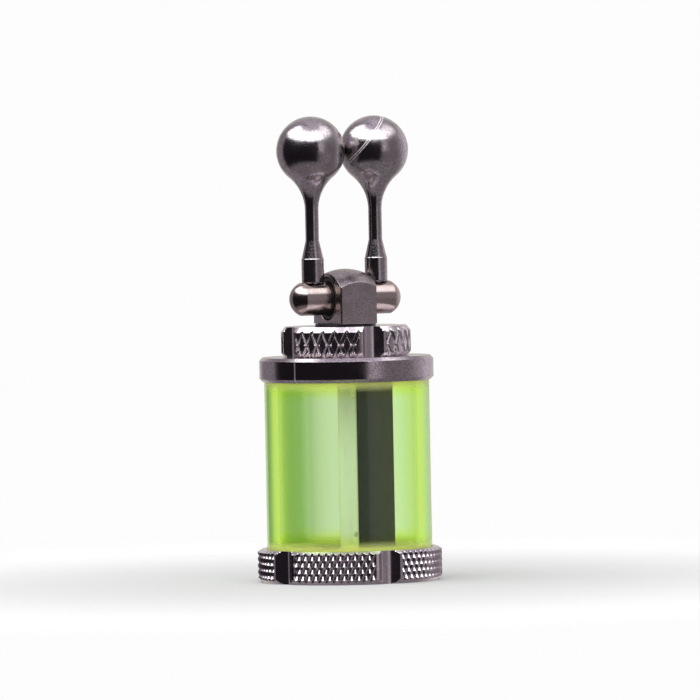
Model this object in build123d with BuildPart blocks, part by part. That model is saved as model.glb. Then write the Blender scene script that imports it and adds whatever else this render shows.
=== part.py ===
"""Hand mill with a glass barrel: a bladed spindle, cranked by two ball-ended levers.

Millimetres, +Z up.  The origin is the centre of the base tray's resting face.  The pin that carries
the levers lies along X, and the levers stand upright at rest.
"""

import math
import os

from build123d import *

# ---------------------------------------- driving dimensions
# Heights of the visible joints between the pieces.
tray_top = 5.0
cap_bottom = 30.3
cap_top = 34.0
nut_top = 38.6
washer_top = 38.95
head_top = 47.24
pin_height = 42.77
lever_bottom = 45.17
ball_height = 65.17

# Radii of the visible pieces.
tray_radius = 14.0
glass_outer = 12.5
glass_inner = 10.5
cap_radius = 13.2
nut_radius = 9.83
pin_radius = 2.5
ball_radius = 5.2

# Fits, all radial.
running_gap = 0.05  # shafts in bushes, and the plain cylinders that stand for threads
seal_gap = 0.03  # between a seal and the piece that moves past it
groove_gap = 0.02  # rings in their grooves, washers on the journal, studs in their tapped holes
glass_gap = 0.1  # between the glass and the pieces that locate it

# ---------------------------------------- grip notches in both knurled rings
notch_width = 3.56
tray_notches = 5
tray_notch_depth = 0.95
nut_notches = 4
nut_notch_depth = 1.1

# ---------------------------------------- inside the base
tray_floor = 1.0
tray_bore = 12.65
spigot_inner = 7.6
spigot_outer = 8.5
spigot_top = 3.2
collar_bottom = 1.3
collar_flange_top = 1.8
collar_top = 4.7
glass_bottom = 2.1
sieve_bottom = 3.4
sieve_top = 4.2
snap_ring_top = 4.6

# ---------------------------------------- inside the cap
glass_top = 31.5
glass_recess_top = 31.8
plug_radius = 10.3
spring_pocket_radius = 4.2
bush_flange_bottom = 33.4
bush_flange_top = 33.8
bush_top = 37.2
boss_radius = 5.5
boss_top = 37.5
nut_web_bottom = 37.7
boss_bore = 3.5

# ---------------------------------------- spindle and blade
journal_radius = 2.45
journal_bottom = 30.4
shaft_radius = 1.42
shaft_bottom = 3.0
clip_bottom = 30.62
clip_top = 31.02
spring_seat_top = 31.22
blade_bottom = 4.8
blade_top = 30.25
blade_inner = -0.2
blade_outer = 7.7
blade_thickness = 0.8
blade_pin_radius = 0.4
blade_pin_place = 0.5
blade_pin_heights = (7.0, 28.0)
shaft_top = 35.0
shaft_pin_radius = 0.35
shaft_pin_height = 32.3
head_flat = 3.03  # distance of the two milled flats from the axis
counterbore_radius = 3.33
counterbore_depth = 0.9

# ---------------------------------------- levers
lever_place = 5.3
stud_radius = 1.0
stud_length = 3.2

os.makedirs("parts", exist_ok=True)


def half_section(*points):
    """A closed half section from (radius, height) points, for turning about Z."""
    with BuildSketch(Plane.XZ) as profile:
        with BuildLine():
            Polyline(*points, close=True)
        make_face()
    return profile.sketch


def ring_section(inner, outer, bottom, top):
    """The half section of a plain ring or washer."""
    return half_section((inner, bottom), (outer, bottom), (outer, top), (inner, top))


def cord_section(radius, height, wire):
    """The half section of a seal ring of round cord."""
    with BuildSketch(Plane.XZ) as profile:
        with Locations((radius, height)):
            Circle(wire)
    return profile.sketch


def notch_sketch(ring_radius, depth, count):
    """Round cutters, spaced about a ring, that leave notches of notch_width and this depth."""
    bulge = ring_radius - math.sqrt(ring_radius**2 - notch_width**2 / 4)
    below_chord = depth - bulge
    cutter = (notch_width**2 / 4 + below_chord**2) / (2 * below_chord)
    with BuildSketch(Plane.XY) as cutters:
        with PolarLocations(ring_radius - depth + cutter, count, start_angle=-90):
            Circle(cutter)
    return cutters.sketch


def save(part, label):
    """Labels a finished piece and writes it to its own file."""
    part.label = label
    export_step(part, f"parts/{label}.step")


# ---------------------------------------- base_tray: knurled foot and catch tray
tray_foot_chamfer = (0.8, 0.7)
tray_rim_chamfer = (0.65, 0.45)
with BuildPart() as base_tray:
    revolve(
        half_section(
            (0, 0),
            (tray_radius - tray_foot_chamfer[0], 0),
            (tray_radius, tray_foot_chamfer[1]),
            (tray_radius, tray_top - tray_rim_chamfer[1]),
            (tray_radius - tray_rim_chamfer[0], tray_top),
            (tray_bore, tray_top),
            (tray_bore, tray_floor),
            (spigot_outer, tray_floor),
            (spigot_outer, spigot_top),
            (spigot_inner, spigot_top),
            (spigot_inner, tray_floor),
            (0, tray_floor),
        ),
        axis=Axis.Z,
    )
    extrude(notch_sketch(tray_radius, tray_notch_depth, tray_notches), amount=tray_top, mode=Mode.SUBTRACT)
save(base_tray.part, "base_tray")

# ---------------------------------------- tray_seal: flat seal under the collar
tray_seal_inner = 8.8
tray_seal_outer = 12.2
with BuildPart() as tray_seal:
    revolve(ring_section(tray_seal_inner, tray_seal_outer, tray_floor, collar_bottom), axis=Axis.Z)
save(tray_seal.part, "tray_seal")

# ---------------------------------------- barrel_collar: screws on the tray's spigot
collar_thread = spigot_outer + running_gap
collar_bore = 9.4
collar_outer = glass_inner - glass_gap
collar_flange = 12.4
snap_groove = 9.7
with BuildPart() as barrel_collar:
    revolve(
        half_section(
            (collar_thread, collar_bottom),
            (collar_flange, collar_bottom),
            (collar_flange, collar_flange_top),
            (collar_outer, collar_flange_top),
            (collar_outer, collar_top),
            (collar_bore, collar_top),
            (collar_bore, snap_ring_top),
            (snap_groove, snap_ring_top),
            (snap_groove, sieve_top),
            (collar_bore, sieve_top),
            (collar_bore, sieve_bottom),
            (collar_thread, sieve_bottom),
        ),
        axis=Axis.Z,
    )
save(barrel_collar.part, "barrel_collar")

# ---------------------------------------- barrel_gasket: under the glass
with BuildPart() as barrel_gasket:
    revolve(
        ring_section(glass_inner + glass_gap, collar_flange, collar_flange_top, glass_bottom),
        axis=Axis.Z,
    )
save(barrel_gasket.part, "barrel_gasket")

# ---------------------------------------- glass_barrel: thick-walled tube
glass_chamfer = 0.15
with BuildPart() as glass_barrel:
    revolve(ring_section(glass_inner, glass_outer, glass_bottom, glass_top), axis=Axis.Z)
    chamfer(glass_barrel.edges().filter_by(GeomType.CIRCLE), glass_chamfer)
save(glass_barrel.part, "glass_barrel")

# ---------------------------------------- foot_bush: steadies the spindle's lower end
foot_bush_bore = shaft_radius + running_gap
foot_bush_outer = 2.0
foot_bush_flange = 2.6
foot_bush_top = 4.5
with BuildPart() as foot_bush:
    revolve(
        half_section(
            (foot_bush_bore, spigot_top),
            (foot_bush_outer, spigot_top),
            (foot_bush_outer, sieve_top),
            (foot_bush_flange, sieve_top),
            (foot_bush_flange, foot_bush_top),
            (foot_bush_bore, foot_bush_top),
        ),
        axis=Axis.Z,
    )
save(foot_bush.part, "foot_bush")

# ---------------------------------------- sieve_plate: lets the ground charge through
sieve_radius = collar_bore - running_gap
sieve_hole_radius = 0.45
sieve_rings = ((3.6, 12), (5.1, 18), (6.6, 24))
with BuildPart() as sieve_plate:
    with BuildSketch(Plane.XY.offset(sieve_bottom)):
        Circle(sieve_radius)
        Circle(foot_bush_outer, mode=Mode.SUBTRACT)
        for ring_radius, hole_count in sieve_rings:
            with PolarLocations(ring_radius, hole_count):
                Circle(sieve_hole_radius, mode=Mode.SUBTRACT)
    extrude(amount=sieve_top - sieve_bottom)
save(sieve_plate.part, "sieve_plate")

# ---------------------------------------- sieve_snap_ring: open ring over the sieve
snap_ring_inner = 8.6
snap_ring_gap = 1.6
with BuildPart() as sieve_snap_ring:
    revolve(ring_section(snap_ring_inner, snap_groove - running_gap, sieve_top, snap_ring_top), axis=Axis.Z)
    with BuildSketch(Plane.XY.offset(sieve_top)):
        with Locations((0, snap_groove)):
            Rectangle(snap_ring_gap, snap_groove)
    extrude(amount=snap_ring_top - sieve_top, mode=Mode.SUBTRACT)
save(sieve_snap_ring.part, "sieve_snap_ring")

# ---------------------------------------- top_cap: flange, plug and threaded boss
cap_rim_chamfer = 0.48
cap_foot_chamfer = 0.5
glass_recess = glass_outer + running_gap
plug_relief = 8.6
plug_relief_top = 31.0
seal_groove_root = 9.45
seal_groove = (30.5, 31.6)
boss_chamfer = 0.3
index_angle = -151.7
index_width = 0.22
index_depth = 0.15
with BuildPart() as top_cap:
    revolve(
        half_section(
            (plug_relief, cap_bottom),
            (plug_radius, cap_bottom),
            (plug_radius, seal_groove[0]),
            (seal_groove_root, seal_groove[0]),
            (seal_groove_root, seal_groove[1]),
            (plug_radius, seal_groove[1]),
            (plug_radius, glass_recess_top),
            (glass_recess, glass_recess_top),
            (glass_recess, cap_bottom),
            (cap_radius - cap_foot_chamfer, cap_bottom),
            (cap_radius, cap_bottom + cap_foot_chamfer),
            (cap_radius, cap_top - cap_rim_chamfer),
            (cap_radius - cap_rim_chamfer, cap_top),
            (boss_radius, cap_top),
            (boss_radius, boss_top - boss_chamfer),
            (boss_radius - boss_chamfer, boss_top),
            (boss_bore, boss_top),
            (boss_bore, bush_flange_top),
            (spring_pocket_radius, bush_flange_top),
            (spring_pocket_radius, plug_relief_top),
            (plug_relief, plug_relief_top),
        ),
        axis=Axis.Z,
    )
    with PolarLocations(cap_radius, 1, start_angle=index_angle):
        with Locations((0, 0, cap_bottom + cap_foot_chamfer)):
            Box(
                2 * index_depth,
                index_width,
                cap_top - cap_rim_chamfer - cap_bottom - cap_foot_chamfer,
                align=(Align.CENTER, Align.CENTER, Align.MIN),
                mode=Mode.SUBTRACT,
            )
save(top_cap.part, "top_cap")

# ---------------------------------------- cap_gasket: between the cap and the glass rim
with BuildPart() as cap_gasket:
    revolve(ring_section(glass_inner, glass_outer, glass_top, glass_recess_top), axis=Axis.Z)
save(cap_gasket.part, "cap_gasket")

# ---------------------------------------- cap_seal_ring: holds the plug in the glass
cap_seal_wire = 0.5
with BuildPart() as cap_seal_ring:
    revolve(
        cord_section(glass_inner - seal_gap - cap_seal_wire, sum(seal_groove) / 2, cap_seal_wire),
        axis=Axis.Z,
    )
save(cap_seal_ring.part, "cap_seal_ring")

# ---------------------------------------- journal_bush: flanged bearing in the boss
bush_bore = journal_radius + running_gap
bush_flange = 4.0
with BuildPart() as journal_bush:
    revolve(
        half_section(
            (bush_bore, bush_flange_bottom),
            (bush_flange, bush_flange_bottom),
            (bush_flange, bush_flange_top),
            (boss_bore, bush_flange_top),
            (boss_bore, bush_top),
            (bush_bore, bush_top),
        ),
        axis=Axis.Z,
    )
save(journal_bush.part, "journal_bush")

# ---------------------------------------- spindle_spring: pulls the head down on the nut
spring_wire = 0.2
spring_radius = 3.2
spring_turns = 3
spring_height = bush_flange_bottom - spring_seat_top - 2 * spring_wire
with BuildPart() as spindle_spring:
    with BuildLine(Plane.XY.offset(spring_seat_top + spring_wire)):
        coil = Helix(pitch=spring_height / spring_turns, height=spring_height, radius=spring_radius)
    with BuildSketch(Plane(origin=coil @ 0, z_dir=coil % 0)):
        Circle(spring_wire)
    sweep(path=coil, is_frenet=True)
save(spindle_spring.part, "spindle_spring")

# ---------------------------------------- spring_seat_washer: under the spring
spring_seat_radius = 3.9
with BuildPart() as spring_seat_washer:
    revolve(
        ring_section(journal_radius + groove_gap, spring_seat_radius, clip_top, spring_seat_top),
        axis=Axis.Z,
    )
save(spring_seat_washer.part, "spring_seat_washer")

# ---------------------------------------- circlip: carries the washer on the spindle
clip_groove_radius = 2.0
clip_radius = 3.5
clip_mouth = 1.4
with BuildPart() as circlip:
    revolve(ring_section(clip_groove_radius + groove_gap, clip_radius, clip_bottom, clip_top), axis=Axis.Z)
    with BuildSketch(Plane.XY.offset(clip_bottom)):
        with Locations((0, clip_radius)):
            Rectangle(clip_mouth, clip_radius)
    extrude(amount=clip_top - clip_bottom, mode=Mode.SUBTRACT)
save(circlip.part, "circlip")

# ---------------------------------------- adjusting_nut: knurled ring that sets the blade's height
nut_foot_chamfer = (0.5, 0.65)
nut_rim_chamfer = (0.6, 0.8)
nut_thread = boss_radius + running_gap
nut_web_bore = 2.7
with BuildPart() as adjusting_nut:
    revolve(
        half_section(
            (nut_thread, cap_top),
            (nut_radius - nut_foot_chamfer[0], cap_top),
            (nut_radius, cap_top + nut_foot_chamfer[1]),
            (nut_radius, nut_top - nut_rim_chamfer[1]),
            (nut_radius - nut_rim_chamfer[0], nut_top),
            (nut_web_bore, nut_top),
            (nut_web_bore, nut_web_bottom),
            (nut_thread, nut_web_bottom),
        ),
        axis=Axis.Z,
    )
    extrude(notch_sketch(nut_radius, nut_notch_depth, nut_notches), amount=nut_top, mode=Mode.SUBTRACT)
save(adjusting_nut.part, "adjusting_nut")

# ---------------------------------------- thrust_washer: between the nut and the head
thrust_washer_radius = 4.6
with BuildPart() as thrust_washer:
    revolve(ring_section(nut_web_bore, thrust_washer_radius, nut_top, washer_top), axis=Axis.Z)
save(thrust_washer.part, "thrust_washer")

# ---------------------------------------- drive_spindle: domed hexagon head on a hollow journal
head_across_flats = 10.0
head_corner = head_across_flats / math.sqrt(3)
head_dome = 7.4
clip_groove = (clip_bottom - groove_gap, clip_top + groove_gap)
pin_axis = Axis((0, 0, pin_height), (1, 0, 0))
with BuildPart() as drive_spindle:
    with BuildSketch(Plane.XY.offset(washer_top)):
        RegularPolygon(head_corner, 6)
        Rectangle(2 * head_flat, 2 * head_corner, mode=Mode.INTERSECT)
    extrude(amount=head_top - washer_top)
    with Locations((0, 0, head_top - head_dome)):
        Sphere(head_dome, mode=Mode.INTERSECT)
    with BuildSketch(Plane.YZ):
        with Locations((0, pin_height)):
            Circle(pin_radius + running_gap)
    extrude(amount=head_corner, both=True, mode=Mode.SUBTRACT)
    for side in (1, -1):
        with BuildSketch(Plane.YZ.offset(side * head_flat)):
            with Locations((0, pin_height)):
                Circle(counterbore_radius)
        extrude(amount=-side * counterbore_depth, mode=Mode.SUBTRACT)
    revolve(
        half_section(
            (shaft_radius, journal_bottom),
            (journal_radius, journal_bottom),
            (journal_radius, clip_groove[0]),
            (clip_groove_radius, clip_groove[0]),
            (clip_groove_radius, clip_groove[1]),
            (journal_radius, clip_groove[1]),
            (journal_radius, washer_top),
            (0, washer_top),
            (0, shaft_top),
            (shaft_radius, shaft_top),
        ),
        axis=Axis.Z,
    )
    with BuildSketch(Plane.XZ):
        with Locations((0, shaft_pin_height)):
            Circle(shaft_pin_radius)
    extrude(amount=journal_radius, both=True, mode=Mode.SUBTRACT)
save(drive_spindle.part, "drive_spindle")

# ---------------------------------------- blade_shaft: slotted shaft, plugged into the journal
shaft_chamfer = 0.3
with BuildPart() as blade_shaft:
    revolve(
        half_section(
            (0, shaft_bottom),
            (shaft_radius - shaft_chamfer, shaft_bottom),
            (shaft_radius, shaft_bottom + shaft_chamfer),
            (shaft_radius, shaft_top),
            (0, shaft_top),
        ),
        axis=Axis.Z,
    )
    with Locations((blade_inner, 0, blade_bottom)):
        Box(
            2 * shaft_radius,
            blade_thickness,
            blade_top - blade_bottom,
            align=(Align.MIN, Align.CENTER, Align.MIN),
            mode=Mode.SUBTRACT,
        )
    with BuildSketch(Plane.XZ):
        with Locations(*[(blade_pin_place, height) for height in blade_pin_heights]):
            Circle(blade_pin_radius)
        with Locations((0, shaft_pin_height)):
            Circle(shaft_pin_radius)
    extrude(amount=shaft_radius, both=True, mode=Mode.SUBTRACT)
save(blade_shaft.part, "blade_shaft")

# ---------------------------------------- shaft_pin: cross pin through the journal and the shaft
shaft_pin_reach = 2.4  # just inside the journal's surface at each end
with BuildPart() as shaft_pin:
    with BuildSketch(Plane.XZ):
        with Locations((0, shaft_pin_height)):
            Circle(shaft_pin_radius)
    extrude(amount=shaft_pin_reach, both=True)
save(shaft_pin.part, "shaft_pin")

# ---------------------------------------- grinding_blade: black blade in the spindle's slot
with BuildPart() as grinding_blade:
    with BuildSketch(Plane.XZ):
        with Locations(((blade_inner + blade_outer) / 2, (blade_bottom + blade_top) / 2)):
            Rectangle(blade_outer - blade_inner, blade_top - blade_bottom)
        with Locations(*[(blade_pin_place, height) for height in blade_pin_heights]):
            Circle(blade_pin_radius, mode=Mode.SUBTRACT)
    extrude(amount=blade_thickness / 2, both=True)
save(grinding_blade.part, "grinding_blade")

# ---------------------------------------- blade_pins: hold the blade in its slot
blade_pin_reach = math.sqrt(shaft_radius**2 - (blade_pin_place + blade_pin_radius) ** 2)
with BuildPart() as blade_pins:
    with BuildSketch(Plane.XZ):
        with Locations(*[(blade_pin_place, height) for height in blade_pin_heights]):
            Circle(blade_pin_radius)
    extrude(amount=blade_pin_reach, both=True)
save(blade_pins.part, "blade_pins")

# ---------------------------------------- pivot_seals: rings round the pin, one in each flat
pivot_wire = 0.38
pivot_seal_place = head_flat - counterbore_depth / 2
pivot_seal_height = pin_height + pin_radius + seal_gap + pivot_wire
with BuildPart() as pivot_seals:
    for side in (1, -1):
        with BuildSketch(Plane.XZ):
            with Locations((side * pivot_seal_place, pivot_seal_height)):
                Circle(pivot_wire)
        revolve(axis=pin_axis)
save(pivot_seals.part, "pivot_seals")

# ---------------------------------------- pivot_pin: cross pin with domed ends
pin_rim = 7.4
pin_bulge = 1.67
pin_tip = pin_rim + pin_bulge
pin_dome = (pin_radius**2 + pin_bulge**2) / (2 * pin_bulge)
dome_angle = math.degrees(math.asin(pin_radius / pin_dome))
spot_face_radius = 1.9
tapped_radius = stud_radius + groove_gap
with BuildPart() as pivot_pin:
    with BuildSketch(Plane.XZ):
        with BuildLine():
            right_end = CenterArc((pin_tip - pin_dome, pin_height), pin_dome, 0, dome_angle)
            left_end = CenterArc((pin_dome - pin_tip, pin_height), pin_dome, 180, -dome_angle)
            Line(right_end @ 1, left_end @ 1)
            Line(right_end @ 0, left_end @ 0)
        make_face()
    revolve(axis=pin_axis)
    with BuildSketch(Plane.XY.offset(lever_bottom)):
        with GridLocations(2 * lever_place, 0, 2, 1):
            Circle(spot_face_radius)
    extrude(amount=pin_radius, mode=Mode.SUBTRACT)
    with BuildSketch(Plane.XY.offset(lever_bottom - stud_length)):
        with GridLocations(2 * lever_place, 0, 2, 1):
            Circle(tapped_radius)
    extrude(amount=2 * stud_length, mode=Mode.SUBTRACT)
save(pivot_pin.part, "pivot_pin")

# ---------------------------------------- levers: stud, foot, cone, neck, flare and ball
foot_radius = 1.71
foot_top = 48.9
foot_chamfer = 0.15
neck_radius = 1.02
neck_bottom = 51.6
neck_top = 56.2
# The flare is an arc tangent to the straight neck and to the ball.
flare_drop = ball_height - neck_top
flare_radius = (flare_drop**2 + neck_radius**2 - ball_radius**2) / (2 * (ball_radius - neck_radius))
to_flare = math.hypot(neck_radius + flare_radius, flare_drop)
flare_meets_ball = (
    (neck_radius + flare_radius) * ball_radius / to_flare,
    ball_height - flare_drop * ball_radius / to_flare,
)
for label, side in (("lever_left", -1), ("lever_right", 1)):
    foot_place = (side * lever_place, 0, 0)
    with BuildPart() as lever:
        with BuildSketch(Plane(origin=foot_place, x_dir=(1, 0, 0), z_dir=(0, -1, 0))):
            with BuildLine():
                crown = CenterArc((0, ball_height), ball_radius, 90, -90)
                RadiusArc(crown @ 1, flare_meets_ball, ball_radius)
                RadiusArc(flare_meets_ball, (neck_radius, neck_top), -flare_radius)
                Polyline(
                    (neck_radius, neck_top),
                    (neck_radius, neck_bottom),
                    (foot_radius, foot_top),
                    (foot_radius, lever_bottom + foot_chamfer),
                    (foot_radius - foot_chamfer, lever_bottom),
                    (stud_radius, lever_bottom),
                    (stud_radius, lever_bottom - stud_length),
                    (0, lever_bottom - stud_length),
                    crown @ 0,
                )
            make_face()
        revolve(axis=Axis(foot_place, (0, 0, 1)))
    save(lever.part, label)
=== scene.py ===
"""Looks for the glass-barrelled hand mill: knurled rings, turned levers, tinted glass and studio."""

import math
from collections import namedtuple

import bpy
import numpy as np
from mathutils import Matrix, Quaternion, Vector


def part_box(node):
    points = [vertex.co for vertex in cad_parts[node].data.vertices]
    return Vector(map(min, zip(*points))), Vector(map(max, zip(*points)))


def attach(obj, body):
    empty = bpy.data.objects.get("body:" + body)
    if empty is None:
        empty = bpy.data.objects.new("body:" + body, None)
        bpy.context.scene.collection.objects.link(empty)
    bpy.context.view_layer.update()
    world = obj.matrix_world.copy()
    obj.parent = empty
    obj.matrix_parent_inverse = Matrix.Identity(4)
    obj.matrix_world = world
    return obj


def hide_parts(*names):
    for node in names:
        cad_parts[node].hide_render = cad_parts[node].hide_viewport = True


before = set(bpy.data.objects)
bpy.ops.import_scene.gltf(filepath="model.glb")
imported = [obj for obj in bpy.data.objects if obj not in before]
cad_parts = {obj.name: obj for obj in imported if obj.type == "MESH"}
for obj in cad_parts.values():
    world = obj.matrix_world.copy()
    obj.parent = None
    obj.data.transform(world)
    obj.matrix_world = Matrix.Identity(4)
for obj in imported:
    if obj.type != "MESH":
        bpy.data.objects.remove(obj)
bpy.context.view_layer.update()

MM = 0.001
TURN = 2 * math.pi

# ------------------------------------------------------------------ sizes read from the frame
tray_low, tray_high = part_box("base_tray")
nut_low, nut_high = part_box("adjusting_nut")
left_low, left_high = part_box("lever_left")
pin_low, pin_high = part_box("pivot_pin")
glass_low, glass_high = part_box("glass_barrel")
cap_low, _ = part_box("top_cap")

# ------------------------------------------------------------------ grip rings
NOTCH_WIDTH = 3.56 * MM
FIRST_NOTCH = -TURN / 4
TRAY_KNURL_LEAN = math.radians(30)
NUT_KNURL_LEAN = math.radians(24.5)
LAND_WIDTH = 0.42 * MM  # smooth strip left beside each notch
LAND_DROP = 0.06 * MM

# ------------------------------------------------------------------ mesh columns, rows and edges
NOTCH_COLUMNS = 25
NOTCH_CLEARANCE = 1.02  # half notches between a notch's middle and the even columns
LAND_STEP = 0.004  # half of the step at a land's edge, as a share of the land's half width
ANGLE_DIGITS = 7
ANGLE_SLACK = 1e-6
ROWS_EACH_WAY = 200
GLASS_COLUMNS = 512
LEVER_COLUMNS = 192
FLARE_STEPS = 24
BALL_STEPS = 72
RING_CREASE = 24  # degrees; sharper edges stay crisp
LEVER_CREASE = 10
PLAIN_CREASE = 30

# ------------------------------------------------------------------ marks in the steel
MARK_WIDTH = math.radians(0.5)  # half the index line's width on the cap
MARK_CORE = 0.7  # share of that half width that is fully matt
SCRATCH_WIDTH = 0.07 * MM
SCRATCH_CORE = 0.5
MATT_ROUGHNESS = 0.75
MATT_COLOUR = (0.95, 0.93, 0.95)
INDEX_LINE = math.radians(-151.7)
SCRATCH_NORMAL = Vector((0.753, -0.181, -0.634))
SCRATCH_PLACES = (-2.15 * MM, -2.42 * MM)  # from the ball's middle

# ------------------------------------------------------------------ steel
LINE_SWEEP = 0.02 * MM  # how far the tool lines drift per radian round the axis
LINE_DETAIL, GRAIN_DETAIL, STAIN_DETAIL = 3.0, 4.0, 5.0
STAIN_SIZE = 2.2 * MM
STAIN_FADE = (0.42, 0.72)  # noise values between which a stain fades in
STAIN_TINT = (1.04, 1.0, 0.97)
STAIN_ROUGHNESS = 0.05
SPECKLE_FADE = (0.40, 0.66)
GRAIN_FADE = (0.3, 0.7)
STEEL_SPREAD = 0.2  # roughness varies by this share either way
LINE_HEIGHT = 0.12  # as a share of the distance between tool lines
GRAIN_HEIGHT = 0.08  # as a share of the grain's size
EDGE_SAMPLES = 4

# ------------------------------------------------------------------ rubber, ceramic and black oxide
TONE_FADE = (0.35, 0.7)
PLAIN_SPREAD = 0.15
PLAIN_HEIGHT = 0.1

# ------------------------------------------------------------------ glass
GLASS_IOR = 1.5
GLASS_COLOUR = (0.42, 0.83, 0.014, 1)
GLASS_DENSITY = 200.0
GLASS_HAZE = 0.03  # roughness where the ripple is highest
RIPPLE_SIZE = 3 * MM
RIPPLE_STRETCH = (1.0, 1.0, 0.08)  # ripples are drawn out along the tube
RIPPLE_DETAIL = 1.0
RIPPLE_FADE = (0.3, 0.7)
RIPPLE_STRENGTH = 0.05
RIPPLE_HEIGHT = 0.02 * MM
END_GLOW = 3.2 * MM  # how far the painted glow, yellow light at the barrel's ends, reaches along the barrel
# painted glow: a yellow tint and less clear glass near both ends stand in for light gathered at the barrel's
# ends
END_GLOW_TINT = (0.97, 1.0, 0.30)
END_GLOW_CLARITY = 0.62
SHEEN_WEIGHT = 0.5
SHEEN_ROUGHNESS = 0.25
SHEEN_TINT = (0.85, 1.0, 0.35, 1)

# ------------------------------------------------------------------ the photograph's view
VIEW_AZIMUTH = math.radians(-25.5)
VIEW_DROP = math.radians(1.6)
VIEW_ROLL = math.radians(-1.1)
VIEW_DISTANCE = 1.2
VIEW_WIDTH = 106.06 * MM
VIEW_SIDE = 0.6 * MM  # how far the middle of the view lies right of the object's axis
VIEW_HEIGHT = 34.9 * MM
SENSOR = 36.0
CLIP_START = 0.05
CLIP_END = 10
TO_CAMERA = Vector((math.sin(VIEW_AZIMUTH), -math.cos(VIEW_AZIMUTH), 0))
TO_RIGHT = Vector((math.cos(VIEW_AZIMUTH), math.sin(VIEW_AZIMUTH), 0))
UP = Vector((0, 0, 1))

# ------------------------------------------------------------------ studio, with angles in degrees
# A soft-edged part of the room: its colour, then (low, high, softness at low, softness at high) for
# the azimuth from the camera, positive to the right, for the elevation, and for the angle between the
# azimuth and straight behind the object. None leaves a way unbounded.
Patch = namedtuple("Patch", "colour azimuth elevation behind", defaults=(None, None))
BEYOND = 720  # further than any angle in the room

ROOM_LOW = (0.235, 0.205, 0.22)
ROOM_HIGH = (0.74, 0.66, 0.76)
ROOM_FADE = (15, 78)
ROOM_PATCHES = {
    "left glow": Patch((0.30, 0.26, 0.29), (-147.5, -113, 22.5, 5)),
    "strip": Patch((0.62, 0.54, 0.59), (29, 46, 3, 10), (-4, 26, 8, 6)),
    "right glow": Patch((0.72, 0.64, 0.70), (110, BEYOND, 26, 26), (-20, 30, 20, 10)),
    "side box": Patch((1.9, 1.8, 1.85), (50, 122, 10, 14), (40, 66, 8, 5)),
    "edge glow": Patch((0.66, 0.63, 0.59), None, (-30, 40, 25, 25), (-BEYOND, 27, 11, 11)),
    "dark card": Patch((0.014, 0.011, 0.014), (-108, 27, 6, 3), (-38, 32, 6, 2)),
}
SOFTBOX = Patch((3.2, 3.15, 3.25), (-122, 54, 4, 16), (34, 68, 2, 6))
SOFTBOX_AGAIN = (1.5, 1.35, 1.25)  # the softbox in a reflection of a reflection
FIRST_REFLECTION = 1.5  # glossy depths below this are a first reflection

BACKDROP_MIDDLE = (0.94, 0.94, 0.91)
BACKDROP_FADES = (  # the measure, where the colour starts, where it is full, the colour
    ("behind, left", 1, 8, (0.27, 0.415, 0.125)),
    ("behind, right", 2, 20, (0.80, 0.86, 0.58)),
    ("behind", 12, 38, (1.05, 1.02, 0.38)),
    ("behind", 60, 90, (1.7, 1.5, 1.5)),
    ("behind", 120, 150, (1.2, 1.05, 1.4)),
    ("depression", 9, 19, (0.86, 0.88, 0.80)),
    ("elevation", 16, 30, (3.2, 3.0, 3.2)),
)
DIFFUSE_LIGHT = (0.80, 0.80, 0.80)
BACKGROUND = (0.975, 0.98, 0.975)

FLOOR_RADIUS = 0.5
FLOOR_SIDES = 96
FLOOR_PAPER = (0.735, 0.74, 0.735, 1)
FLOOR_FADE = (0.03, 0.14)  # distances from the axis between which the floor fades out
LAMP_SIZE = 0.7
LAMP_POWER = 1.0
LAMP_PLACE = TO_CAMERA * 0.15 - TO_RIGHT * 0.2 + UP * 0.8


# ------------------------------------------------------------------ meshes
def mesh_object(name, vertices, faces, crease=PLAIN_CREASE):
    """A shaded mesh object in the scene, with edges sharper than this angle kept crisp."""
    mesh = bpy.data.meshes.new(name)
    mesh.from_pydata([tuple(v) for v in vertices], [], faces)
    mesh.validate()
    mesh.update()
    mesh.shade_smooth()
    mesh.set_sharp_from_angle(angle=math.radians(crease))
    made = bpy.data.objects.new(name, mesh)
    bpy.context.scene.collection.objects.link(made)
    return made


def wall_faces(radii, first, closed):
    """Triangles between rows of a turned body; each cell is split along its deeper diagonal."""
    rows, columns = radii.shape
    faces = []
    for row in range(rows if closed else rows - 1):
        above = (row + 1) % rows
        here_at, above_at = first + row * columns, first + above * columns
        for column in range(columns):
            right = (column + 1) % columns
            low_left, low_right = here_at + column, here_at + right
            top_left, top_right = above_at + column, above_at + right
            rising = radii[row, column] + radii[above, right]
            falling = radii[row, right] + radii[above, column]
            if rising <= falling:
                faces += [(low_left, low_right, top_right), (low_left, top_right, top_left)]
            else:
                faces += [(low_left, low_right, top_left), (low_right, top_right, top_left)]
    return faces


def ring_vertices(angles, radii, heights):
    """The vertices of all rows, row after row."""
    return [
        (radius * math.cos(angle), radius * math.sin(angle), height)
        for row, height in zip(radii, heights)
        for radius, angle in zip(row, angles)
    ]


def turned(name, angles, radii, heights, crease):
    """A closed body of turned rows, radii being (rows, angles); its first and last rows lie on the axis."""
    wall = radii[1:-1]
    vertices = [(0.0, 0.0, heights[0])]
    vertices += ring_vertices(angles, wall, heights[1:-1])
    vertices.append((0.0, 0.0, heights[-1]))
    columns, last = len(angles), len(vertices) - 1
    faces = wall_faces(wall, 1, closed=False)
    for column in range(columns):
        right = (column + 1) % columns
        faces.append((0, 1 + right, 1 + column))
        faces.append((last - columns + column, last - columns + right, last))
    return mesh_object(name, vertices, faces, crease)


def turned_loop(name, angles, radii, heights, crease):
    """A closed ring of turned rows whose last row joins its first."""
    vertices = ring_vertices(angles, radii, heights)
    return mesh_object(name, vertices, wall_faces(radii, 0, closed=True), crease)


def plain_rows(profile, columns):
    """Angles, radii and heights of a turning without teeth, from its (radius, height) profile."""
    angles = np.arange(columns) * TURN / columns
    radii = np.array([[radius] * columns for radius, _ in profile])
    return angles, radii, [height for _, height in profile]


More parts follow.
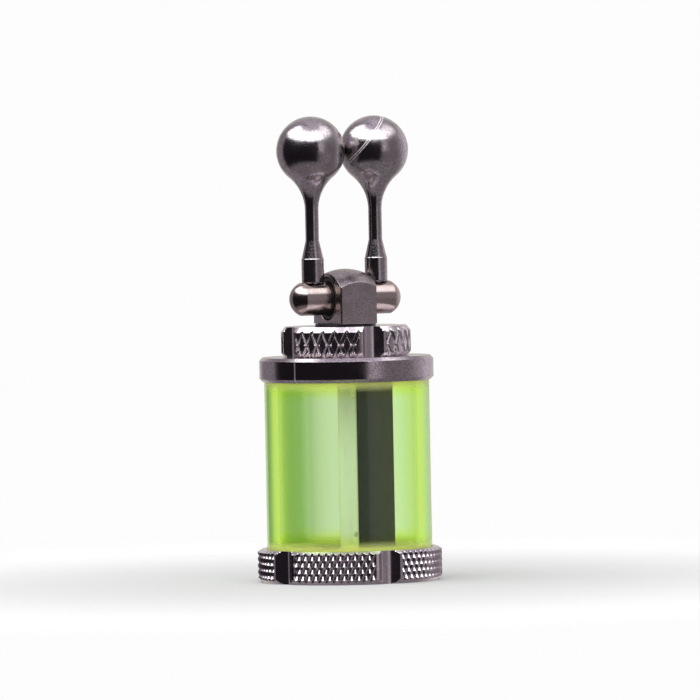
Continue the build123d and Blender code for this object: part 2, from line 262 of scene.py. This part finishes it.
def arc(centre, radius, start, end, count):
    """Points (r, z) along an arc of this many steps, angles in radians."""
    turns = np.linspace(start, end, count + 1)
    return [(centre[0] + radius * math.cos(t), centre[1] + radius * math.sin(t)) for t in turns]


# ------------------------------------------------------------------ knurled grips
# A diamond-knurled ring with scalloped notches. Foot and rim are its chamfers, as (radial, axial); lean
# is the grooves' angle to the axis; cells are mesh cells per tooth. The teeth are pyramids, flat over
# the share flat_top of their width, or rounded pillows at 0. The pattern is moved up by shift teeth.
Grip = namedtuple("Grip", "outer low high foot rim teeth lean depth notches notch_depth cells flat_top shift")


def triangle_wave(value):
    """0 at whole numbers, 1 half way between them."""
    return 1 - np.abs(2 * (value - np.floor(value)) - 1)


def notch_middles(grip):
    """Angles of the notches' middles."""
    return FIRST_NOTCH + np.arange(grip.notches) * TURN / grip.notches


def from_notch(grip, angles):
    """Signed angle from the nearest notch's middle."""
    offsets = (angles[:, None] - notch_middles(grip)[None, :] + TURN / 2) % TURN - TURN / 2
    return offsets[np.arange(len(angles)), np.argmin(np.abs(offsets), axis=1)]


def column_angles(grip, half_notch, half_land):
    """Angles of the mesh columns: evenly along the teeth, closer in the notches and at the lands' edges."""
    even = np.arange(grip.teeth * grip.cells) * TURN / (grip.teeth * grip.cells)
    even = even[np.abs(from_notch(grip, even)) > half_notch * NOTCH_CLEARANCE]
    in_notch = np.linspace(-half_notch, half_notch, NOTCH_COLUMNS)
    edges = half_land * np.array([-1 - LAND_STEP, -1 + LAND_STEP, 1 - LAND_STEP, 1 + LAND_STEP])
    extra = np.concatenate([in_notch, edges])
    angles = np.concatenate([even] + [(middle + extra) % TURN for middle in notch_middles(grip)])
    return np.unique(np.round(angles, ANGLE_DIGITS))


def row_heights(grip, axial):
    """Heights of the mesh rows: evenly along the teeth, and at both ends of each chamfer."""
    step = axial / grip.cells
    ends = np.array([grip.low, grip.low + grip.foot[1], grip.high - grip.rim[1], grip.high])
    steps = np.arange(-ROWS_EACH_WAY, ROWS_EACH_WAY + 1) * step + (grip.low + grip.high) / 2
    steps = steps[(steps > grip.low) & (steps < grip.high)]
    clear = np.min(np.abs(steps[:, None] - ends[None, :]), axis=1) > step / 4
    return np.sort(np.concatenate([steps[clear], ends]))


def tooth_share(grip, across, along):
    """How high the surface stands between a groove's bottom, 0, and a tooth's top, 1."""
    one_way = across[None, :] + along[:, None]
    other_way = across[None, :] - along[:, None]
    if not grip.flat_top:
        return np.abs(np.sin(math.pi * one_way) * np.sin(math.pi * other_way))
    pyramid = np.minimum(triangle_wave(one_way), triangle_wave(other_way))
    return np.minimum(1.0, pyramid / (1 - grip.flat_top))


def chamfer_radii(grip, heights):
    """The radius that the two chamfers leave at each height."""
    cone_up = grip.outer - grip.foot[0] * (1 - np.clip((heights - grip.low) / grip.foot[1], 0, 1))
    cone_down = grip.outer - grip.rim[0] * (1 - np.clip((grip.high - heights) / grip.rim[1], 0, 1))
    return np.minimum(cone_up, cone_down)


def notch_radii(grip, half_notch, offset):
    """The radius that the round-bottomed notches leave at each angle from a notch's middle."""
    bulge = grip.outer - math.sqrt(grip.outer**2 - NOTCH_WIDTH**2 / 4)
    below_chord = grip.notch_depth - bulge
    cutter = (NOTCH_WIDTH**2 / 4 + below_chord**2) / (2 * below_chord)
    cutter_place = grip.outer - grip.notch_depth + cutter
    reach = cutter**2 - (cutter_place * np.sin(offset)) ** 2
    scallop = cutter_place * np.cos(offset) - np.sqrt(np.clip(reach, 0, None))
    inside = (np.abs(offset) <= half_notch + ANGLE_SLACK) & (reach > 0)
    return np.where(inside, scallop, grip.outer)


def grip_rows(grip):
    """Angles, radii and heights of a grip's wall."""
    half_notch = math.asin(NOTCH_WIDTH / 2 / grip.outer)
    half_land = half_notch + LAND_WIDTH / grip.outer
    axial = TURN * grip.outer / grip.teeth / math.tan(grip.lean)
    angles = column_angles(grip, half_notch, half_land)
    heights = row_heights(grip, axial)
    offset = from_notch(grip, angles)

    along = (heights - (grip.low + grip.high) / 2) / axial - grip.shift
    tooth = tooth_share(grip, angles * grip.teeth / TURN, along)
    knurl = grip.outer - grip.depth * (1 - tooth)
    knurl = np.where((np.abs(offset) < half_land)[None, :], grip.outer - LAND_DROP, knurl)
    radii = np.minimum(knurl, chamfer_radii(grip, heights)[:, None])
    radii = np.minimum(radii, notch_radii(grip, half_notch, offset)[None, :])
    return angles, radii, heights


def with_plain_rows(rows, before, after):
    """Adds plain turned rows, given as (radius, height), before and after a grip's own rows."""
    angles, radii, heights = rows
    rows_before = [np.full((1, len(angles)), radius) for radius, _ in before]
    rows_after = [np.full((1, len(angles)), radius) for radius, _ in after]
    all_radii = np.concatenate(rows_before + [radii] + rows_after)
    all_heights = np.concatenate([[z for _, z in before], heights, [z for _, z in after]])
    return angles, all_radii, all_heights


# ------------------------------------------------------------------ shader nodes
def node(tree, kind, inputs=None, **settings):
    """Adds a node; an input that is a socket is linked, and any other is set."""
    made = tree.nodes.new(kind)
    for key, value in settings.items():
        setattr(made, key, value)
    for key, value in (inputs or {}).items():
        if isinstance(value, bpy.types.NodeSocket):
            tree.links.new(value, made.inputs[key])
        else:
            made.inputs[key].default_value = value
    return made


def calc(tree, operation, first, second=0.0):
    """The output of one math node."""
    return node(tree, "ShaderNodeMath", {0: first, 1: second}, operation=operation).outputs[0]


def dot(tree, first, second):
    """The dot product of two vectors."""
    inputs = {0: first, 1: second}
    return node(tree, "ShaderNodeVectorMath", inputs, operation="DOT_PRODUCT").outputs["Value"]


def remap(tree, value, low, high, to_low=0.0, to_high=1.0):
    """A value mapped smoothly from one range to another, clamped."""
    inputs = {"Value": value, "From Min": low, "From Max": high, "To Min": to_low, "To Max": to_high}
    return node(tree, "ShaderNodeMapRange", inputs, interpolation_type="SMOOTHSTEP").outputs["Result"]


def band(tree, value, low, high, soft_low, soft_high):
    """1 between low and high, with soft edges."""
    rise = remap(tree, value, low - soft_low, low + soft_low)
    fall = remap(tree, value, high - soft_high, high + soft_high, 1.0, 0.0)
    return calc(tree, "MULTIPLY", rise, fall)


def noise(tree, where, size, detail):
    """Noise whose lumps are about this large."""
    inputs = {"Vector": where, "Scale": 1 / size, "Detail": detail}
    return node(tree, "ShaderNodeTexNoise", inputs).outputs[0]


def bump(tree, height, strength, distance, **normal):
    """A surface direction tilted by a height."""
    inputs = {"Strength": strength, "Distance": distance, "Height": height, **normal}
    return node(tree, "ShaderNodeBump", inputs).outputs[0]


def mix_colour(tree, share, first, second):
    """A mix of two colours; the node has its colours at inputs 6 and 7 and their mix at output 2."""
    mixed = node(tree, "ShaderNodeMix", data_type="RGBA", clamp_factor=True)
    for index, value in ((0, share), (6, first), (7, second)):
        if isinstance(value, bpy.types.NodeSocket):
            tree.links.new(value, mixed.inputs[index])
        elif index == 0:
            mixed.inputs[index].default_value = value
        else:
            mixed.inputs[index].default_value = (*value, 1.0)
    return mixed.outputs[2]


def new_material(name):
    """An empty material with its output, ready for a shader."""
    material = bpy.data.materials.new(name)
    material.use_nodes = True
    material.node_tree.nodes.clear()
    output = node(material.node_tree, "ShaderNodeOutputMaterial")
    return material, material.node_tree, output


def place_on_axis(tree, axis, centre):
    """Sockets (distance from the axis, place along it, angle about it) of a shaded point."""
    where = node(tree, "ShaderNodeTexCoord").outputs["Object"]
    moved = node(tree, "ShaderNodeVectorMath", {0: where, 1: centre}, operation="SUBTRACT").outputs[0]
    parts = node(tree, "ShaderNodeSeparateXYZ", {0: moved}).outputs
    across, up, along = {"Z": (parts[0], parts[1], parts[2]), "X": (parts[1], parts[2], parts[0])}[axis]
    squares = calc(tree, "ADD", calc(tree, "MULTIPLY", across, across), calc(tree, "MULTIPLY", up, up))
    return calc(tree, "SQRT", squares), along, calc(tree, "ARCTAN2", up, across)


# ------------------------------------------------------------------ materials
def matt_shares(tree, where, angle, mark, scratches):
    """How far a point lies in the index line and in each scratch, from 0 to 1."""
    shares = []
    if mark is not None:
        from_mark = calc(tree, "ABSOLUTE", calc(tree, "SUBTRACT", angle, mark))
        shares.append(remap(tree, from_mark, MARK_CORE * MARK_WIDTH, MARK_WIDTH, 1.0, 0.0))
    for normal, offset in scratches:
        from_plane = calc(tree, "ABSOLUTE", calc(tree, "SUBTRACT", dot(tree, where, normal), offset))
        shares.append(remap(tree, from_plane, SCRATCH_CORE * SCRATCH_WIDTH, SCRATCH_WIDTH, 1.0, 0.0))
    return shares


def steel(name, colour, roughness, axis="Z", centre=(0, 0, 0), line=0.05 * MM, grain=0.12 * MM,
          line_bump=0.25, grain_bump=0.15, tarnish=0.25, speckle=0.5, edge=0.06 * MM,
          mark=None, scratches=()):
    """Turned or milled steel: tool lines round its axis, a fine grain, faint tarnish, softened edges.

    Mark is the angle of a matt index line; each scratch is a plane, given by its normal and its
    distance from the origin, whose cut through the surface is matt.
    """
    material, tree, output = new_material(name)
    distance, along, angle = place_on_axis(tree, axis, centre)
    drift = calc(tree, "MULTIPLY", angle, LINE_SWEEP)
    swept = node(tree, "ShaderNodeCombineXYZ", {0: distance, 1: along, 2: drift}).outputs[0]
    where = node(tree, "ShaderNodeTexCoord").outputs["Object"]
    lines = noise(tree, swept, line, LINE_DETAIL)
    grains = noise(tree, where, grain, GRAIN_DETAIL)
    stain = remap(tree, noise(tree, where, STAIN_SIZE, STAIN_DETAIL), *STAIN_FADE)

    stained = tuple(part * (1 - tarnish) * tint for part, tint in zip(colour, STAIN_TINT))
    pits = tuple(part * (1 - speckle) for part in colour)
    surface = mix_colour(tree, stain, colour, stained)
    surface = mix_colour(tree, remap(tree, grains, *SPECKLE_FADE), surface, pits)
    smoothest, roughest = roughness * (1 - STEEL_SPREAD), roughness * (1 + STEEL_SPREAD)
    rough = remap(tree, grains, *GRAIN_FADE, smoothest, roughest)
    rough = calc(tree, "ADD", rough, remap(tree, stain, 0, 1, 0, STAIN_ROUGHNESS))
    for share in matt_shares(tree, where, angle, mark, scratches):
        rough = calc(tree, "MAXIMUM", rough, calc(tree, "MULTIPLY", share, MATT_ROUGHNESS))
        surface = mix_colour(tree, share, surface, MATT_COLOUR)

    soft = node(tree, "ShaderNodeBevel", {"Radius": edge}, samples=EDGE_SAMPLES).outputs[0]
    lined = bump(tree, lines, line_bump, line * LINE_HEIGHT, Normal=soft)
    grained = bump(tree, grains, grain_bump, grain * GRAIN_HEIGHT, Normal=lined)
    shader = node(tree, "ShaderNodeBsdfPrincipled", {
        "Base Color": surface, "Metallic": 1.0, "Roughness": rough, "Normal": grained})
    tree.links.new(shader.outputs[0], output.inputs["Surface"])
    return material


def tinted_glass(name):
    """Clear glass, greener the further light goes through it, with a painted glow of yellow light at its ends
    and a pale sheen.
    """
    material, tree, output = new_material(name)
    where = node(tree, "ShaderNodeTexCoord").outputs["Object"]
    drawn = node(tree, "ShaderNodeMapping", {"Vector": where, "Scale": RIPPLE_STRETCH}).outputs[0]
    ripple = noise(tree, drawn, RIPPLE_SIZE, RIPPLE_DETAIL)
    rippled = bump(tree, ripple, RIPPLE_STRENGTH, RIPPLE_HEIGHT)
    haze = remap(tree, ripple, *RIPPLE_FADE, 0.0, GLASS_HAZE)
    height = node(tree, "ShaderNodeSeparateXYZ", {0: where}).outputs[2]
    above_tray = calc(tree, "SUBTRACT", height, tray_high.z)
    below_cap = calc(tree, "SUBTRACT", cap_low.z, height)
    from_end = calc(tree, "MINIMUM", above_tray, below_cap)
    # painted glow: yellow, less clear glass near both ends stands in for light gathered there
    tint = mix_colour(tree, remap(tree, from_end, 0.0, END_GLOW), END_GLOW_TINT, (1.0, 1.0, 1.0))
    clarity = remap(tree, from_end, 0.0, END_GLOW / 2, END_GLOW_CLARITY, 1.0)
    shader = node(tree, "ShaderNodeBsdfPrincipled", {
        "Base Color": tint, "Roughness": haze, "Transmission Weight": clarity, "IOR": GLASS_IOR,
        "Normal": rippled, "Sheen Weight": SHEEN_WEIGHT, "Sheen Roughness": SHEEN_ROUGHNESS,
        "Sheen Tint": SHEEN_TINT})
    depth = node(tree, "ShaderNodeVolumeAbsorption", {"Color": GLASS_COLOUR, "Density": GLASS_DENSITY})
    tree.links.new(shader.outputs[0], output.inputs["Surface"])
    tree.links.new(depth.outputs[0], output.inputs["Volume"])
    return material


def plain_surface(name, colour, second_tone, roughness, grain, grain_bump=0.2, coat=0.0, specular=0.5):
    """Rubber, ceramic or black oxide: two close tones, a grained surface and its own gloss."""
    material, tree, output = new_material(name)
    where = node(tree, "ShaderNodeTexCoord").outputs["Object"]
    grains = noise(tree, where, grain, GRAIN_DETAIL)
    tint = mix_colour(tree, remap(tree, grains, *TONE_FADE), colour, second_tone)
    smoothest, roughest = roughness * (1 - PLAIN_SPREAD), roughness * (1 + PLAIN_SPREAD)
    rough = remap(tree, grains, *GRAIN_FADE, smoothest, roughest)
    grained = bump(tree, grains, grain_bump, grain * PLAIN_HEIGHT)
    shader = node(tree, "ShaderNodeBsdfPrincipled", {
        "Base Color": tint, "Roughness": rough, "Coat Weight": coat, "Specular IOR Level": specular,
        "Normal": grained})
    tree.links.new(shader.outputs[0], output.inputs["Surface"])
    return material


def dress(piece, material):
    """Gives the whole piece one material."""
    piece.data.materials.clear()
    piece.data.materials.append(material)


# ------------------------------------------------------------------ pieces made here
def make_tray():
    """Knurled foot ring with the catch tray and its spigot inside."""
    bore, floor = 12.65 * MM, 1.0 * MM
    spigot_outer, spigot_inner, spigot_top = 8.5 * MM, 7.6 * MM, 3.2 * MM
    grip = Grip(
        outer=tray_high.x, low=tray_low.z, high=tray_high.z,
        foot=(0.8 * MM, 0.7 * MM), rim=(0.65 * MM, 0.45 * MM),
        teeth=77, lean=TRAY_KNURL_LEAN, depth=0.40 * MM, notches=5, notch_depth=0.95 * MM,
        cells=12, flat_top=0, shift=0)
    rows = with_plain_rows(
        grip_rows(grip),
        [(0, tray_low.z)],
        [(bore, tray_high.z), (bore, floor), (spigot_outer, floor), (spigot_outer, spigot_top),
         (spigot_inner, spigot_top), (spigot_inner, floor), (0, floor)])
    return turned("tray_knurled", *rows, RING_CREASE)


def make_nut():
    """Knurled adjusting nut: coarse teeth, one diamond high."""
    thread, web_bore, web_bottom = 5.55 * MM, 2.7 * MM, 37.7 * MM
    grip = Grip(
        outer=math.hypot(nut_high.x, NOTCH_WIDTH / 2), low=nut_low.z, high=nut_high.z,
        foot=(0.50 * MM, 0.65 * MM), rim=(0.60 * MM, 0.80 * MM),
        teeth=33, lean=NUT_KNURL_LEAN, depth=0.34 * MM, notches=4, notch_depth=1.1 * MM,
        cells=20, flat_top=0.6, shift=-0.105)
    rows = with_plain_rows(
        grip_rows(grip),
        [(thread, nut_low.z)],
        [(web_bore, nut_high.z), (web_bore, web_bottom), (thread, web_bottom)])
    return turned_loop("nut_knurled", *rows, RING_CREASE)


def make_glass():
    """The thick tube again, round enough for clean refraction."""
    outer, inner, chamfer = 12.5 * MM, 10.5 * MM, 0.15 * MM
    foot, rim = glass_low.z, glass_high.z
    profile = [
        (inner, foot + chamfer), (inner + chamfer, foot), (outer - chamfer, foot), (outer, foot + chamfer),
        (outer, rim - chamfer), (outer - chamfer, rim), (inner + chamfer, rim), (inner, rim - chamfer),
    ]
    return turned_loop("glass_tube", *plain_rows(profile, GLASS_COLUMNS), PLAIN_CREASE)


def lever_profile():
    """(radius, height) of one lever from its stud to the top of its ball."""
    ball = 5.2 * MM
    foot, neck = 1.71 * MM, 1.02 * MM
    stud, stud_length = 1.0 * MM, 3.2 * MM
    chamfer, ease = 0.15 * MM, 0.06 * MM
    ball_height = left_high.z - ball
    bottom = left_low.z + stud_length
    foot_top, neck_bottom, neck_top = bottom + 3.73 * MM, bottom + 6.43 * MM, bottom + 11.03 * MM
    drop = ball_height - neck_top
    flare = (drop**2 + neck**2 - ball**2) / (2 * (ball - neck))
    lean = math.atan2(drop, neck + flare)
    flare_centre = (neck + flare, neck_top)
    profile = [(0, left_low.z), (stud, left_low.z), (stud, bottom)]
    profile += [(foot - chamfer, bottom), (foot, bottom + chamfer)]
    profile += [(foot, foot_top - 2 * ease), (foot - ease, foot_top), (neck, neck_bottom)]
    profile += arc(flare_centre, flare, math.pi, math.pi - lean, FLARE_STEPS)
    profile += arc((0, ball_height), ball, -lean, math.pi / 2, BALL_STEPS)[1:-1]
    return profile + [(0, left_high.z)]


def make_lever(name, place):
    """One lever, turned about its own axis and stood at its place on the pin."""
    lever = turned(name, *plain_rows(lever_profile(), LEVER_COLUMNS), LEVER_CREASE)
    lever.data.transform(Matrix.Translation(Vector((place, 0, 0))))
    return lever


# ------------------------------------------------------------------ build
tray = make_tray()
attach(tray, "base")
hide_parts("base_tray")

nut = make_nut()
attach(nut, "nut")
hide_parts("adjusting_nut")

tube = make_glass()
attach(tube, "barrel")
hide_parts("glass_barrel")

for node_name, piece_name in (("lever_left", "ball_lever_left"), ("lever_right", "ball_lever_right")):
    low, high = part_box(node_name)
    place = (low.x + high.x) / 2
    scratches = ()
    if node_name == "lever_right":
        ball_middle = Vector((place, 0, high.z - (high.x - low.x) / 2))
        scratches = [(SCRATCH_NORMAL, SCRATCH_NORMAL.dot(ball_middle) + offset) for offset in SCRATCH_PLACES]
    lever = make_lever(piece_name, place)
    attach(lever, "handle")
    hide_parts(node_name)
    dress(lever, steel(
        f"{piece_name}_steel", colour=(0.60, 0.57, 0.59), roughness=0.17, centre=(place, 0, 0),
        line=0.11 * MM, grain=0.34 * MM, line_bump=0.30, grain_bump=0.35, tarnish=0.3,
        speckle=0.34, edge=0.08 * MM, scratches=scratches))

knurled_steel = steel(
    "knurled_steel", colour=(0.76, 0.71, 0.76), roughness=0.15, grain=0.25 * MM,
    line_bump=0.1, grain_bump=0.1, tarnish=0.2, speckle=0.2, edge=0.02 * MM)
cap_steel = steel(
    "cap_steel", colour=(0.60, 0.555, 0.60), roughness=0.14, line=0.07 * MM, grain=0.30 * MM,
    line_bump=0.15, grain_bump=0.12, tarnish=0.2, speckle=0.36, mark=INDEX_LINE)
head_steel = steel(
    "head_steel", colour=(0.49, 0.45, 0.465), roughness=0.27, line=0.2 * MM, grain=0.34 * MM,
    line_bump=0.1, grain_bump=0.5, tarnish=0.3, speckle=0.28, edge=0.18 * MM)
pin_steel = steel(
    "pin_steel", colour=(0.58, 0.51, 0.485), roughness=0.17, axis="X",
    centre=(0, 0, (pin_low.z + pin_high.z) / 2), line=0.08 * MM, line_bump=0.3, tarnish=0.2, speckle=0.3)
inner_steel = steel("inner_steel", colour=(0.6, 0.6, 0.6), roughness=0.3)
bronze = steel("bronze", colour=(0.62, 0.38, 0.17), roughness=0.35, grain=0.08 * MM, grain_bump=0.6)
rubber = plain_surface(
    "seal_rubber", colour=(0.018, 0.018, 0.020), second_tone=(0.030, 0.030, 0.032),
    roughness=0.45, grain=0.08 * MM)
ceramic = plain_surface(
    "white_ceramic", colour=(0.94, 0.95, 0.93), second_tone=(0.90, 0.91, 0.88),
    roughness=0.22, grain=0.3 * MM, grain_bump=0.05, coat=0.3)
black_oxide = plain_surface(
    "black_oxide", colour=(0.006, 0.007, 0.006), second_tone=(0.012, 0.014, 0.011),
    roughness=0.45, grain=0.12 * MM, specular=0.06)

dress(tray, knurled_steel)
dress(nut, knurled_steel)
dress(tube, tinted_glass("green_glass"))

CARRIED_OVER = {
    "top_cap": cap_steel, "barrel_collar": cap_steel, "drive_spindle": head_steel, "pivot_pin": pin_steel,
    "grinding_blade": black_oxide, "blade_shaft": ceramic, "thrust_washer": rubber,
    "tray_seal": rubber, "barrel_gasket": rubber, "cap_gasket": rubber, "cap_seal_ring": rubber,
    "pivot_seals": rubber, "sieve_plate": inner_steel, "sieve_snap_ring": inner_steel, "circlip": inner_steel,
    "spindle_spring": inner_steel, "spring_seat_washer": inner_steel, "blade_pins": inner_steel,
    "shaft_pin": inner_steel, "journal_bush": bronze, "foot_bush": bronze,
}
for node_name, material in CARRIED_OVER.items():
    dress(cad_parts[node_name], material)


# ------------------------------------------------------------------ studio
def in_patch(tree, measures, patch):
    """How far a direction lies in a patch of the room, from 0 to 1."""
    bounds_by_way = {"azimuth": patch.azimuth, "elevation": patch.elevation, "behind": patch.behind}
    bands = [band(tree, measures[way], *edges) for way, edges in bounds_by_way.items() if edges]
    share = bands[0]
    for other in bands[1:]:
        share = calc(tree, "MULTIPLY", share, other)
    return share


def measured_directions(tree):
    """The angles of a direction in the world, by the names that the patches and the backdrop use."""
    direction = node(tree, "ShaderNodeTexCoord").outputs["Generated"]
    side, ahead, up = (dot(tree, direction, way) for way in (TO_RIGHT, TO_CAMERA, UP))
    azimuth = calc(tree, "DEGREES", calc(tree, "ARCTAN2", side, ahead))
    elevation = calc(tree, "DEGREES", calc(tree, "ARCSINE", up))
    behind = calc(tree, "SUBTRACT", 180.0, calc(tree, "ABSOLUTE", azimuth))
    return {
        "azimuth": azimuth,
        "elevation": elevation,
        "depression": calc(tree, "MULTIPLY", elevation, -1.0),
        "behind": behind,
        "behind, left": calc(tree, "MULTIPLY", behind, calc(tree, "LESS_THAN", azimuth, 0.0)),
        "behind, right": calc(tree, "MULTIPLY", behind, calc(tree, "GREATER_THAN", azimuth, 0.0)),
    }


def make_world():
    """A purplish grey room with a wide softbox above the front and a dark card in front.

    What the glass shows is a lit backdrop: white in the middle, green to the left of it, pale to the
    right, yellow further out, then light at the sides and overhead. Diffuse surfaces get an even
    light, and the camera sees a plain background.
    """
    world = bpy.data.worlds.new("studio")
    bpy.context.scene.world = world
    world.use_nodes = True
    tree = world.node_tree
    tree.nodes.clear()
    output = node(tree, "ShaderNodeOutputWorld")
    rays = node(tree, "ShaderNodeLightPath").outputs
    measures = measured_directions(tree)

    room = mix_colour(tree, remap(tree, measures["elevation"], *ROOM_FADE), ROOM_LOW, ROOM_HIGH)
    for patch in ROOM_PATCHES.values():
        room = mix_colour(tree, in_patch(tree, measures, patch), room, patch.colour)
    once = calc(tree, "LESS_THAN", rays["Glossy Depth"], FIRST_REFLECTION)
    softbox = mix_colour(tree, once, SOFTBOX_AGAIN, SOFTBOX.colour)
    room = mix_colour(tree, in_patch(tree, measures, SOFTBOX), room, softbox)

    backdrop = BACKDROP_MIDDLE
    for measure, start, full, colour in BACKDROP_FADES:
        backdrop = mix_colour(tree, remap(tree, measures[measure], start, full), backdrop, colour)

    shown = mix_colour(tree, rays["Is Transmission Ray"], room, backdrop)
    shown = mix_colour(tree, rays["Is Diffuse Ray"], shown, DIFFUSE_LIGHT)
    shown = mix_colour(tree, rays["Is Camera Ray"], shown, BACKGROUND)
    background = node(tree, "ShaderNodeBackground", {"Color": shown, "Strength": 1.0})
    tree.links.new(background.outputs[0], output.inputs["Surface"])


def make_floor():
    """A pale round floor that fades into the background."""
    angles = np.arange(FLOOR_SIDES) * TURN / FLOOR_SIDES
    vertices = [(0.0, 0.0, 0.0)]
    vertices += [(FLOOR_RADIUS * math.cos(a), FLOOR_RADIUS * math.sin(a), 0.0) for a in angles]
    faces = [(0, 1 + i, 1 + (i + 1) % FLOOR_SIDES) for i in range(FLOOR_SIDES)]
    floor = mesh_object("floor", vertices, faces)
    material, tree, output = new_material("floor_paper")
    distance, _, _ = place_on_axis(tree, "Z", (0, 0, 0))
    paper = node(tree, "ShaderNodeBsdfDiffuse", {"Color": FLOOR_PAPER})
    clear = node(tree, "ShaderNodeBsdfTransparent")
    fade = remap(tree, distance, *FLOOR_FADE)
    mixed = node(tree, "ShaderNodeMixShader", {0: fade, 1: paper.outputs[0], 2: clear.outputs[0]})
    tree.links.new(mixed.outputs[0], output.inputs["Surface"])
    dress(floor, material)
    floor.visible_glossy = False
    floor.visible_transmission = False


def make_light():
    """One large soft light from above, kept out of the metal's reflections."""
    light = bpy.data.lights.new("overhead", "AREA")
    light.shape = "DISK"
    light.size = LAMP_SIZE
    light.energy = LAMP_POWER
    lamp = bpy.data.objects.new("overhead", light)
    bpy.context.scene.collection.objects.link(lamp)
    lamp.location = LAMP_PLACE
    lamp.rotation_euler = (-lamp.location).to_track_quat("-Z", "Y").to_euler()
    lamp.visible_glossy = False


def make_camera():
    """A long lens at the photograph's angle, with its small roll."""
    data = bpy.data.cameras.new("camera")
    data.sensor_width = SENSOR
    data.lens = SENSOR * VIEW_DISTANCE / VIEW_WIDTH
    data.clip_start = CLIP_START
    data.clip_end = CLIP_END
    camera = bpy.data.objects.new("camera", data)
    bpy.context.scene.collection.objects.link(camera)
    target = TO_RIGHT * VIEW_SIDE + UP * VIEW_HEIGHT
    back = TO_CAMERA * math.cos(VIEW_DROP) + UP * math.sin(VIEW_DROP)
    camera.location = target + back * VIEW_DISTANCE
    camera.rotation_mode = "QUATERNION"
    camera.rotation_quaternion = back.to_track_quat("Z", "Y") @ Quaternion(UP, VIEW_ROLL)
    bpy.context.scene.camera = camera


make_world()
make_floor()
make_light()
make_camera()
bpy.context.scene.view_settings.view_transform = "Standard"
